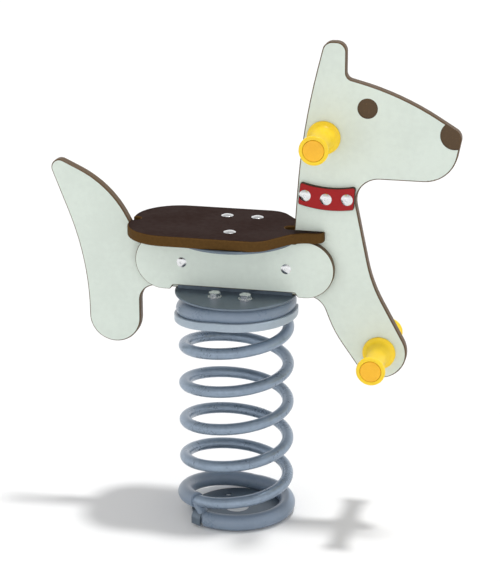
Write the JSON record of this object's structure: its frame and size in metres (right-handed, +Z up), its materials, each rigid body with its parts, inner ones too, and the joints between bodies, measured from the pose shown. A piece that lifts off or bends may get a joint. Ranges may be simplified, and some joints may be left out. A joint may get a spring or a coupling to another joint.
{
  "type": "spring rider",
  "caption": "Playground spring rider: a flat dog-shaped board with seat, handles and footrests, carried on one large coil spring that stands on a drilled base plate.",
  "frame": {"origin": "centre of the spring on the ground, in the underside of the base plate", "axes": "+Z up, +X towards the dog's nose, +Y to the dog's left side"},
  "size_m": [0.7011, 0.2125, 0.849],
  "materials": {
    "hdpe_skin": "two-colour sheet: pale textured skin over a brown core that shows at the routed edges",
    "hdpe_brown": "dark brown sheet, seat",
    "hdpe_red": "red skin over a brown core",
    "yellow_plastic": "moulded yellow handle plastic",
    "spring_steel": "powder-coated blue grey",
    "sleeve_plastic": "moulded blue-grey sleeve",
    "cup_plastic": "moulded pale blue-grey cup",
    "bracket_steel": "powder-coated blue grey",
    "bolt_steel": "stainless steel"
  },
  "bodies": {
    "base": {"base_plate": "bracket_steel", "bottom_end_strap": "bracket_steel", "bottom_strap_screw": "bolt_steel", "bottom_sleeve": "sleeve_plastic", "spring_bottom_coil": "spring_steel"},
    "rocked_spring": {"spring_lower_coils": "spring_steel"},
    "swayed_spring": {"spring_upper_coils": "spring_steel"},
    "rider": {"spring_top_coil": "spring_steel", "top_sleeve": "sleeve_plastic", "top_coil_cup": "cup_plastic", "top_plate": "bracket_steel", "top_end_strap": "bracket_steel", "top_strap_screw": "bolt_steel", "lower_hub_bracket": "bracket_steel", "upper_hub_bracket": "bracket_steel", "hub_bolts": "bolt_steel", "hub_washers": "bolt_steel", "hub_nuts": "bolt_steel", "dog_board": "hdpe_skin", "left_side_panel": "hdpe_skin", "right_side_panel": "hdpe_skin", "side_bolts": "bolt_steel", "side_cap_nuts": "bolt_steel", "seat_board": "hdpe_brown", "seat_bolts": "bolt_steel", "seat_cap_nuts": "bolt_steel", "left_collar": "hdpe_red", "right_collar": "hdpe_red", "collar_bolts": "bolt_steel", "collar_cap_nuts": "bolt_steel", "left_handle": "yellow_plastic", "right_handle": "yellow_plastic", "handle_tie_bar": "bolt_steel", "handle_caps": "yellow_plastic", "left_footrest": "yellow_plastic", "right_footrest": "yellow_plastic", "footrest_tie_bar": "bolt_steel", "footrest_caps": "yellow_plastic"}
  },
  "joints": [
    {"name": "rock_fore_and_aft", "type": "hinge", "parent": "base", "child": "rocked_spring", "pos_m": [0, 0, 0.11888], "axis": [0, 1, 0], "range_deg": [-18, 18], "stiffness_Nm_per_rad": 600, "deforming": ["spring_bottom_coil", "spring_lower_coils"]},
    {"name": "sway_sideways", "type": "hinge", "parent": "rocked_spring", "child": "swayed_spring", "pos_m": [0, 0, 0.20348], "axis": [1, 0, 0], "range_deg": [-12, 12], "stiffness_Nm_per_rad": 600, "deforming": ["spring_upper_coils"]},
    {"name": "bounce", "type": "slide", "parent": "swayed_spring", "child": "rider", "axis": [0, 0, 1], "range_m": [-0.02, 0.01], "stiffness_N_per_m": 54000, "springref_m": 0.0025, "deforming": ["spring_top_coil"]}
  ]
}
